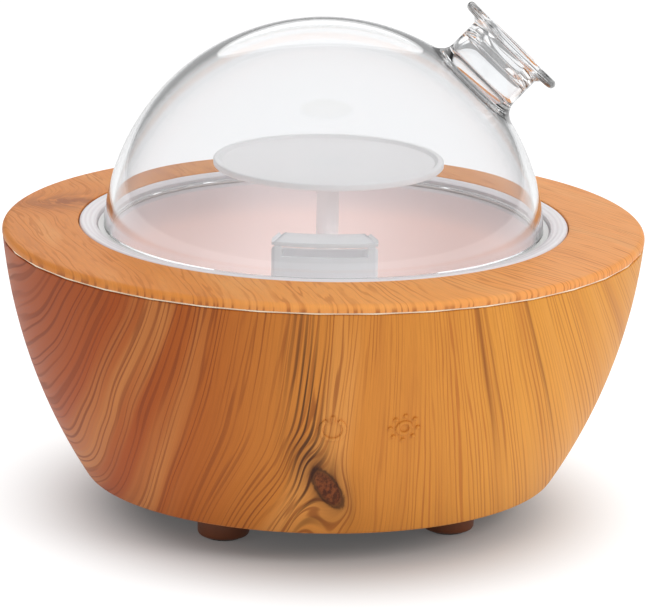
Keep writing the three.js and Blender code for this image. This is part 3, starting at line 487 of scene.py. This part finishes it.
def turned(name, outline, centre=(0, 0, 0), axis=(0, 0, 1), across=(1, 0, 0), steps=192, closed=True,
           angle=wholeTurn):
    # draws the outline by extruding one vertex, then spins it round the axis
    deselect()
    bpy.ops.mesh.primitive_plane_add(size=mm)
    piece = bpy.context.active_object
    piece.name = name
    piece.data.name = name
    centre, axis, across = Vector(centre), Vector(axis), Vector(across)
    places = [centre + across * (p[0] * mm) + axis * (p[1] * mm) for p in outline]
    if closed:
        places.append(places[0])
    bpy.ops.object.mode_set(mode="EDIT")
    bpy.ops.mesh.select_all(action="SELECT")
    bpy.ops.mesh.merge(type="CENTER")
    bpy.ops.transform.translate(value=places[0])
    for here, there in zip(places, places[1:]):
        bpy.ops.mesh.extrude_vertices_move(TRANSFORM_OT_translate={"value": there - here})
    bpy.ops.mesh.select_all(action="SELECT")
    bpy.ops.mesh.remove_doubles(threshold=1e-6)
    bpy.ops.mesh.select_all(action="SELECT")
    bpy.ops.mesh.spin(steps=steps, angle=angle, center=centre, axis=axis)
    bpy.ops.mesh.select_all(action="SELECT")
    bpy.ops.mesh.remove_doubles(threshold=weld)
    bpy.ops.mesh.select_all(action="SELECT")
    bpy.ops.mesh.normals_make_consistent(inside=False)
    bpy.ops.object.mode_set(mode="OBJECT")
    return piece


def closeEnds(piece):
    # fills the two open ends that a part turn leaves
    activate(piece)
    bpy.ops.object.mode_set(mode="EDIT")
    bpy.ops.mesh.select_all(action="SELECT")
    bpy.ops.mesh.fill_holes(sides=0)
    bpy.ops.mesh.select_all(action="SELECT")
    bpy.ops.mesh.normals_make_consistent(inside=False)
    bpy.ops.object.mode_set(mode="OBJECT")


def smooth(piece, degrees=32):
    activate(piece)
    bpy.ops.object.shade_smooth_by_angle(angle=math.radians(degrees))


def applyModifier(piece, kind, **settings):
    activate(piece)
    modifier = piece.modifiers.new(kind.lower(), kind)
    for key, value in settings.items():
        setattr(modifier, key, value)
    bpy.ops.object.modifier_apply(modifier=modifier.name)


def cutWith(piece, cutter):
    applyModifier(piece, "BOOLEAN", operation="DIFFERENCE", object=cutter, solver="MANIFOLD")
    bpy.data.objects.remove(cutter)


def finishPiece(piece, body, finish, slot, *replaced):
    piece.data.materials.clear()
    piece.data.materials.append(finishes[finish])
    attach(piece, body)
    if replaced:
        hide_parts(*replaced)
    return piece


sideCurve = {"radius": 172.2, "height": 105.0, "centre": -70.85}


def sideRadius(height):
    return sideCurve["centre"] + math.sqrt(sideCurve["radius"] ** 2 - (sideCurve["height"] - height) ** 2)


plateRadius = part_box("bottom_plate")[1].x / mm
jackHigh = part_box("dc_jack")[1] / mm
jackHeight = (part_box("jack_pin")[0].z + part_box("jack_pin")[1].z) / 2 / mm

shellPlan = {"wall": 2.6, "underRound": 2.8, "lipRound": 0.35, "plateGap": 0.35, "rows": 26, "lipHeight": 87.1,
             "sideStart": 3.4, "sideEnd": 0.8, "sideWall": 1.05, "underWall": 1.2,
             "jackBore": 5.65, "boreDepth": 40, "boreShift": 12}


def makeShell(plan):
    low, lip, wall = undersideHeight, plan["lipHeight"], plan["wall"]
    start, rows = low + plan["sideStart"], plan["rows"]
    heights = [start + (lip - plan["sideEnd"] - start) * k / rows for k in range(rows + 1)]
    outer = [(sideRadius(h), h, 0) for h in reversed(heights)]
    inner = [(sideRadius(h) - wall * plan["sideWall"], h, 0) for h in heights]
    plateHole, floor = plateRadius + plan["plateGap"], low + wall
    points = [(sideRadius(lip), lip, plan["lipRound"]), *outer, (sideRadius(low), low, plan["underRound"]),
              (plateHole, low, 0.3), (plateHole, floor, 0.3),
              (sideRadius(floor) - wall * plan["underWall"], floor, 0), *inner, (sideRadius(lip) - wall, lip, 0.3)]
    shell = turned("woodShell", cornered(points), steps=256)
    deselect()
    bpy.ops.mesh.primitive_cylinder_add(vertices=64, radius=plan["jackBore"] * mm, depth=plan["boreDepth"] * mm,
                                        location=(0, (jackHigh.y + plan["boreShift"]) * mm, jackHeight * mm),
                                        rotation=(math.radians(90), 0, 0))
    bpy.ops.object.transform_apply()
    cutWith(shell, bpy.context.active_object)
    smooth(shell)
    return finishPiece(shell, "base", "wood", "wood", "base_shell")


makeShell(shellPlan)
print("wooden shell made")

iconPlan = {"height": 49.6, "angle": 6.78, "relief": 0.55, "sunk": 0.5, "stroke": 1.25, "edge": 0.4,
            "powerRadius": 3.6, "powerGap": 60, "bar": (2.2, 4.9), "sunRadius": 2.0, "ray": (3.7, 4.9),
            "rays": 8}


def iconArc(name, plan, radius, startAngle, sweep):
    half, edge = plan["stroke"] / 2, plan["edge"]
    corners = [(radius - half, -plan["sunk"], 0), (radius + half, -plan["sunk"], 0),
               (radius + half, plan["relief"], edge), (radius - half, plan["relief"], edge)]
    across = (math.cos(startAngle), math.sin(startAngle), 0)
    arc = turned(name, cornered(corners, 3), across=across, steps=40, angle=sweep)
    if sweep < wholeTurn:
        closeEnds(arc)
    return arc


def iconBar(plan, low, high, angle):
    deselect()
    depth = plan["sunk"] + plan["relief"]
    bpy.ops.mesh.primitive_cube_add(size=1, location=(0, 0, 0))
    bar = bpy.context.active_object
    bar.scale = (plan["stroke"] * mm, (high - low) * mm, depth * mm)
    bar.location = (0, (low + high) / 2 * mm, (plan["relief"] - depth / 2) * mm)
    bpy.ops.object.transform_apply()
    applyModifier(bar, "BEVEL", width=plan["edge"] * mm, segments=3, limit_method="ANGLE")
    bar.data.transform(Matrix.Rotation(angle, 4, "Z"))
    return bar


def seatIcon(pieces, name, plan, side):
    # joins the pieces and lays them on the side, which leans outwards as it rises
    deselect()
    for piece in pieces:
        piece.select_set(True)
    bpy.context.view_layer.objects.active = pieces[0]
    bpy.ops.object.join()
    icon = bpy.context.active_object
    icon.name = name
    icon.data.name = name
    slope = math.asin((sideCurve["height"] - plan["height"]) / sideCurve["radius"])
    turn = math.radians(plan["angle"]) * side
    outward = Vector((math.sin(turn) * math.cos(slope), -math.cos(turn) * math.cos(slope), -math.sin(slope)))
    right = Vector((math.cos(turn), math.sin(turn), 0))
    upward = outward.cross(right)
    seat = Vector((math.sin(turn), -math.cos(turn), 0)) * sideRadius(plan["height"]) * mm
    seat.z = plan["height"] * mm
    icon.data.transform(Matrix.Translation(seat) @ Matrix((right, upward, outward)).transposed().to_4x4())
    smooth(icon, 40)
    return finishPiece(icon, "base", "wood", "wood")


def makeIcons(plan):
    gap = math.radians(plan["powerGap"])
    arc = iconArc("powerArc", plan, plan["powerRadius"], math.pi / 2 - gap / 2, wholeTurn - gap)
    seatIcon([arc, iconBar(plan, *plan["bar"], 0)], "powerIcon", plan, -1)
    rays = [iconBar(plan, *plan["ray"], wholeTurn / plan["rays"] * k) for k in range(plan["rays"])]
    sun = iconArc("sunRing", plan, plan["sunRadius"], 0, wholeTurn)
    seatIcon([sun, *rays], "lightIcon", plan, 1)


makeIcons(iconPlan)
print("icons made")

coverPlan = {"hole": 76.8, "shelf": 73.6, "shelfHeight": 88.4, "edgeRadius": 100.7, "edgeHeight": 90.1,
             "edgeRound": 1.8, "seamTop": 87.7, "wall": 2.6, "skirtBottom": 81.6,
             "skirtGap": 0.6, "skirtWall": 1.6, "shelfThickness": 1.6, "crownSteps": 8}


def makeCover(plan):
    hole, edge, steps = plan["hole"], plan["edgeRadius"], plan["crownSteps"]
    skirt = edge - plan["wall"] - plan["skirtGap"]
    under = plan["shelfHeight"] - plan["shelfThickness"]
    crown = [(hole + (edge - hole) * k / steps,
              plan["edgeHeight"] + (rimHeight - plan["edgeHeight"]) * (1 - (k / steps) ** 2), 0)
             for k in range(1, steps)]
    points = [(hole, rimHeight, 0.4), *crown, (edge, plan["edgeHeight"], plan["edgeRound"]),
              (edge - 0.15, plan["seamTop"], 0.25), (skirt, plan["seamTop"], 0), (skirt, plan["skirtBottom"], 0.3),
              (skirt - plan["skirtWall"], plan["skirtBottom"], 0.3), (skirt - plan["skirtWall"], under, 0.3),
              (plan["shelf"], under, 0.2), (plan["shelf"], plan["shelfHeight"], 0.2), (hole, plan["shelfHeight"], 0)]
    cover = turned("woodCover", cornered(points), steps=256)
    smooth(cover)
    return finishPiece(cover, "base", "litWoodTop", "wood", "top_cover")


makeCover(coverPlan)
print("top cover made")


glassPlan = {"centre": 86.3, "radius": 69.0, "wall": 2.3, "lean": 44.0, "neckRadius": 13.3, "bore": 11.3,
             "fillet": 5.0, "flangeRadius": 18.8, "flangeStart": 82.5, "flangeEnd": 85.5, "mouth": 8.2,
             "shoulder": 78.9, "flare": 1.5, "steps": 192, "rows": 110, "filletSteps": 10}


def makeDome(plan):
    lean = math.radians(plan["lean"])
    axis = Vector((math.sin(lean), 0, math.cos(lean)))
    across = Vector((math.cos(lean), 0, -math.sin(lean)))
    outer, inner = plan["radius"], plan["radius"] - plan["wall"]
    neck, bore, fillet = plan["neckRadius"], plan["bore"], plan["fillet"]
    blendUp = math.sqrt((outer + fillet) ** 2 - (neck + fillet) ** 2)
    joinAngle = math.atan2(neck + fillet, blendUp)
    innerStart = math.asin(bore / inner)
    rows, filletSteps = plan["rows"], plan["filletSteps"]
    outerAngles = [math.pi - (math.pi - joinAngle) * k / rows for k in range(rows + 1)]
    innerAngles = [innerStart + (math.pi - innerStart) * k / rows for k in range(1, rows + 1)]
    profile = [(outer * math.sin(a), outer * math.cos(a)) for a in outerAngles]
    centre = Vector((neck + fillet, blendUp))
    first = Vector(profile[-1]) - centre
    start = math.atan2(first.y, first.x)
    sweep = (math.pi if first.y > 0 else -math.pi) - start
    for k in range(1, filletSteps + 1):
        angle = start + sweep * k / filletSteps
        profile.append((centre.x + fillet * math.cos(angle), centre.y + fillet * math.sin(angle)))
    flange, low, high = plan["flangeRadius"], plan["flangeStart"], plan["flangeEnd"]
    half = (high - low) / 2
    upper = [(neck, low - plan["flare"], 0.0), (neck + plan["flare"], low, 1.2),
             (flange, low, half * 0.96), (flange, high, half * 0.96), (plan["mouth"], high, 1.2),
             (plan["mouth"], plan["shoulder"] + 0.4, 0.9), (bore, plan["shoulder"] - 1.4, 1.6)]
    neckPoints = [(neck, blendUp, 0), *upper, (bore, inner * math.cos(innerStart), 0)]
    profile += [tuple(p) for p in cornered(neckPoints, 7)]
    profile += [(inner * math.sin(a), inner * math.cos(a)) for a in innerAngles]
    dome = turned("glassDome", profile, centre=(0, 0, plan["centre"] * mm), axis=axis, across=across,
                  steps=plan["steps"], closed=False)
    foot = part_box("glass_dome")[0].z
    bpy.ops.object.mode_set(mode="EDIT")
    bpy.ops.mesh.select_all(action="SELECT")
    bpy.ops.mesh.bisect(plane_co=(0, 0, foot), plane_no=(0, 0, 1), clear_inner=True, use_fill=False)
    bpy.ops.mesh.select_all(action="DESELECT")
    bpy.ops.mesh.select_mode(type="EDGE")
    bpy.ops.mesh.select_non_manifold(extend=False, use_wire=False, use_boundary=True, use_multi_face=False,
                                     use_non_contiguous=False, use_verts=False)
    bpy.ops.mesh.bridge_edge_loops()
    bpy.ops.mesh.select_mode(type="VERT")
    bpy.ops.mesh.select_all(action="SELECT")
    bpy.ops.mesh.remove_doubles(threshold=weld)
    bpy.ops.mesh.normals_make_consistent(inside=False)
    bpy.ops.object.mode_set(mode="OBJECT")
    smooth(dome, 45)
    return finishPiece(dome, "dome", "clear_glass", "clear_glass", "glass_dome")


makeDome(glassPlan)
print("glass dome made")


tankPlan = {"rim": 76.5, "ledge": 71.0, "lip": 65.8, "floorRadius": 30.0, "floor": 45.0, "wall": 2.2,
            "rimThickness": 2.8, "wellAt": (3.0, 19.8), "wellRadius": 12.0, "wellDepth": 3.0, "window": 8.5,
            "socketHeight": 10.0, "socketWall": 3.0, "ledgeDrop": 2.35, "lipDrop": 0.7, "hub": 34, "curveSteps": 28}
stemGap = 0.3
stemRadius = (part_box("shield_stem")[1].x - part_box("shield_stem")[0].x) / 2 / mm
shieldX = (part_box("shield_stem")[1].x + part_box("shield_stem")[0].x) / 2 / mm


def cylinder(radius, low, high, at=(0, 0), sides=96):
    deselect()
    bpy.ops.mesh.primitive_cylinder_add(vertices=sides, radius=radius * mm, depth=(high - low) * mm,
                                        location=(at[0] * mm, at[1] * mm, (low + high) / 2 * mm))
    bpy.ops.object.transform_apply()
    return bpy.context.active_object


def makeTank(plan):
    top, floor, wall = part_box("water_tank")[1].z / mm, plan["floor"], plan["wall"]
    drop, hub, steps = plan["ledgeDrop"], plan["hub"], plan["curveSteps"]
    ledgeHeight = top - drop
    lipHeight = ledgeHeight - plan["lipDrop"]
    quarter = math.pi / 2

    def bowlCurve(grow, angle):
        return (plan["floorRadius"] + (plan["lip"] - plan["floorRadius"] + grow) * math.cos(angle),
                lipHeight - (lipHeight - floor + grow) * math.sin(angle), 0)

    inside = [bowlCurve(0, quarter * k / steps) for k in range(1, steps)]
    outside = [bowlCurve(wall, quarter * (steps - 1 - k) / (steps - 1)) for k in range(5, steps - 2)]
    base = floor - wall - plan["wellDepth"]
    points = [(plan["rim"], top, 0.7), (plan["ledge"] + 3.4, top, 0.6), (plan["ledge"] + 0.2, top - 0.5, 0.35),
              (plan["ledge"], ledgeHeight, 0.3), (plan["lip"] + 0.8, ledgeHeight, 0.5),
              (plan["lip"], ledgeHeight - 0.9, 0.3), *inside, (plan["floorRadius"] * 0.97, floor, 0), (0, floor, 0)]
    under = [(0, base, 0), (hub, base, 0.5), (hub, floor - wall + 0.6, 0), *outside,
             (plan["lip"] + wall, ledgeHeight - plan["rimThickness"], 0.3),
             (plan["rim"], ledgeHeight - plan["rimThickness"] + drop, 0.5)]
    tank = turned("waterTank", cornered([*points, *under]), steps=256)
    cutWith(tank, cylinder(plan["wellRadius"], floor - plan["wellDepth"], floor + 3, plan["wellAt"]))
    cutWith(tank, cylinder(plan["window"], base - 2, floor, plan["wellAt"]))
    smooth(tank)
    finishPiece(tank, "base", "tank", "frosted_plastic", "water_tank")
    outer, inner = stemRadius + plan["socketWall"], stemRadius + stemGap
    rise = floor + plan["socketHeight"]
    seat, bottom = floor + 1.5, floor + 0.02
    section = [(inner, rise, 0.4), (inner, seat, 0), (0, seat, 0), (0, bottom, 0), (outer, bottom, 0.2),
               (outer, rise, 0.5)]
    socket = turned("stemSocket", cornered(section), centre=(shieldX * mm, 0, 0), steps=96)
    smooth(socket)
    return finishPiece(socket, "base", "tank", "frosted_plastic")


makeTank(tankPlan)
print("water tank made")


ductPlan = {"yaw": -8.65, "outer": 60.0, "depth": 12.0, "width": 30.1, "wall": 1.4, "cornerRound": 1.9,
            "slotWidth": 26.0, "slotHeight": 3.1, "edge": 0.35, "steps": 24}


def ductBlock(name, plan, inset, low, high, cornerRound, edge):
    # a block that follows the tank round: a radial section spun through the duct's width
    near, far = plan["outer"] - plan["depth"] + inset, plan["outer"] - inset
    sweep = (plan["width"] - 2 * inset) / (plan["outer"] - plan["depth"] / 2)
    start = math.radians(plan["yaw"] - 90) + sweep / 2
    across = (math.cos(start), math.sin(start), 0)
    corners = [(near, low, 0), (far, low, 0), (far, high, 0), (near, high, 0)]
    block = turned(name, cornered(corners), across=across, steps=plan["steps"], angle=sweep)
    closeEnds(block)
    roundUprights(block, cornerRound)
    if edge:
        applyModifier(block, "BEVEL", width=edge * mm, segments=3, limit_method="ANGLE",
                      angle_limit=math.radians(50), use_clamp_overlap=True)
    return block


def roundUprights(piece, width):
    # rounds the four upright corners, found by their direction and the angle between their faces
    activate(piece)
    bpy.ops.object.mode_set(mode="EDIT")
    bpy.ops.mesh.select_mode(type="EDGE")
    bpy.ops.mesh.select_all(action="DESELECT")
    bpy.ops.mesh.edges_select_sharp(sharpness=math.radians(60))
    bpy.ops.object.mode_set(mode="OBJECT")
    mesh = piece.data
    for edge in mesh.edges:
        a, b = [mesh.vertices[v].co for v in edge.vertices]
        if edge.select and (b - a).length > 0 and abs((b - a).normalized().z) < 0.9:
            edge.select = False
    bpy.ops.object.mode_set(mode="EDIT")
    bpy.ops.mesh.bevel(offset=width * mm, segments=6, affect="EDGES")
    bpy.ops.mesh.select_mode(type="VERT")
    bpy.ops.object.mode_set(mode="OBJECT")


def slotCutter(plan, low, high):
    deselect()
    bpy.ops.mesh.primitive_cube_add(size=1)
    box = bpy.context.active_object
    yaw = math.radians(plan["yaw"])
    reach = plan["outer"] - plan["depth"] / 2
    box.scale = (plan["slotWidth"] * mm, plan["depth"] * 2 * mm, (high - low) * mm)
    box.rotation_euler = (0, 0, yaw)
    box.location = (reach * math.sin(yaw) * mm, -reach * math.cos(yaw) * mm, (low + high) / 2 * mm)
    bpy.ops.object.transform_apply()
    return box


def makeDuct(plan):
    low, high = [corner.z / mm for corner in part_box("air_duct")]
    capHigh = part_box("duct_cap")[1].z / mm
    duct = ductBlock("airDuct", plan, 0, low, high, plan["cornerRound"], 0)
    cutWith(duct, ductBlock("bore", plan, plan["wall"], low - 1, high + 1, 0.8, 0))
    cutWith(duct, slotCutter(plan, high - plan["slotHeight"], high + 1))
    applyModifier(duct, "BEVEL", width=0.22 * mm, segments=2, limit_method="ANGLE",
                  angle_limit=math.radians(50), use_clamp_overlap=True)
    smooth(duct)
    finishPiece(duct, "base", "duct", "frosted_plastic", "air_duct")
    cap = ductBlock("ductCap", plan, 0, high + 0.1, capHigh, plan["cornerRound"], plan["edge"])
    smooth(cap)
    return finishPiece(cap, "base", "duct", "frosted_plastic", "duct_cap")


makeDuct(ductPlan)
print("air duct made")


shieldPlan = {"radius": 36.0, "web": 0.9, "socketDepth": 5.0, "socketWall": 2.0}


def makeShield(plan):
    low, high = [corner.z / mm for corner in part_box("shield_disc")]
    bottom = low + plan["socketDepth"]
    web = high - plan["web"]
    socket = stemRadius + stemGap
    centre = (shieldX * mm, 0, 0)
    radius, roof = plan["radius"], bottom - 0.1
    section = [(0, web, 0), (radius - 2.8, web, 0.6), (radius - 1.8, high, 0.35), (radius, high, 0.6),
               (radius, bottom, 0.7), (socket + 3, bottom, 0.6), (socket + plan["socketWall"], low, 0.4),
               (socket, low, 0.3), (socket, roof, 0), (0, roof, 0)]
    disc = turned("shieldDisc", cornered(section), centre=centre, steps=224)
    smooth(disc)
    finishPiece(disc, "mist_shield", "frosted_plastic", "frosted_plastic", "shield_disc")
    low, high = [corner.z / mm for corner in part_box("shield_stem")]
    stem = turned("shieldStem", cornered([(0, low, 0), (stemRadius, low, 0.9), (stemRadius, high, 0.4),
                                          (0, high, 0)]), centre=centre, steps=72)
    smooth(stem)
    return finishPiece(stem, "mist_shield", "frosted_plastic", "frosted_plastic", "shield_stem")


makeShield(shieldPlan)


sealPlan = {"width": 3.9, "cornerRound": 0.2, "topRound": 0.3}


def makeSeal(plan):
    low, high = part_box("dome_seal")
    outer, bottom, top = high.x / mm, low.z / mm, high.z / mm
    inner, low, high = outer - plan["width"], plan["cornerRound"], plan["topRound"]
    section = [(inner, bottom, low), (outer, bottom, low), (outer, top, high), (inner, top, high)]
    seal = turned("domeSeal", cornered(section, 3), steps=224)
    smooth(seal)
    return finishPiece(seal, "seal_ring", "silicone", "silicone", "dome_seal")


makeSeal(sealPlan)
print("mist shield and seal made")


footPlan = {"radius": 8.3, "bottomRound": 1.6, "padRecess": 6.15, "recessDepth": 1.2}


def makeFeet(plan):
    low, high = [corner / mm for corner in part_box("foot_1")]
    middle = (low + high) / 2
    points = [(0, high.z, 0), (plan["radius"], high.z, 0.3), (plan["radius"] - 0.25, low.z, plan["bottomRound"]),
              (plan["padRecess"], low.z, 0.25), (plan["padRecess"], low.z + plan["recessDepth"], 0),
              (0, low.z + plan["recessDepth"], 0)]
    pattern = turned("foot", cornered(points), centre=(middle.x * mm, middle.y * mm, 0), steps=64, closed=False)
    smooth(pattern)
    for k in range(1, 5):
        there = [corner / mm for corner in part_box(f"foot_{k}")]
        shift = ((there[0] + there[1]) / 2 - middle) * mm
        foot = pattern.copy()
        foot.data = pattern.data.copy()
        foot.name = f"foot{k}"
        foot.data.transform(Matrix.Translation(shift))
        bpy.context.collection.objects.link(foot)
        finishPiece(foot, "base", "brown_plastic", "brown_plastic", f"foot_{k}")
    bpy.data.objects.remove(pattern)


makeFeet(footPlan)
print("feet made")


slotOf = {part["node"]: part["material_slot"] for part in frame["record"]["subparts"]}
for name, node in frame["nodes"].items():
    if not node.hide_render:
        node.data.materials.clear()
        node.data.materials.append(finishes[slotOf[name]])
print("packed nodes finished", sorted(set(slotOf.values())))


floorPlan = {"radius": 14, "stretch": 1.15, "shadowFrom": 60, "shadowTo": 128, "under": paint(205, 205, 205),
             "away": paint(150, 150, 150), "underGlow": (0.07, 0.07, 0.07, 1), "awayGlow": (0.88, 0.88, 0.88, 1)}
surroundings = {"colour": (1, 1, 1, 1), "strength": 0.42}


def makeFloor(plan):
    # the floor glows white away from the diffuser, so only a soft shadow is left round it
    deselect()
    bpy.ops.mesh.primitive_circle_add(vertices=96, radius=plan["radius"], fill_type="NGON", location=(0, 0, 0))
    floor = bpy.context.active_object
    floor.name = "floor"
    pale = Finish("paleFloor", roughness=0.9, specular=0.0, emissionStrength=1.0)
    away = ((pale.x * plan["stretch"]) ** 2 + pale.y ** 2) ** 0.5
    share = pale.ease(away, plan["shadowFrom"], plan["shadowTo"])
    pale.feed(colour=pale.blend(share, plan["under"], plan["away"]),
              emission=pale.blend(share, plan["underGlow"], plan["awayGlow"]))
    floor.data.materials.append(pale.material)


makeFloor(floorPlan)

world = bpy.data.worlds.new("studio")
bpy.context.scene.world = world
world.use_nodes = True
background = world.node_tree.nodes["Background"]
background.inputs["Color"].default_value = surroundings["colour"]
background.inputs["Strength"].default_value = surroundings["strength"]
print("floor and surroundings made")
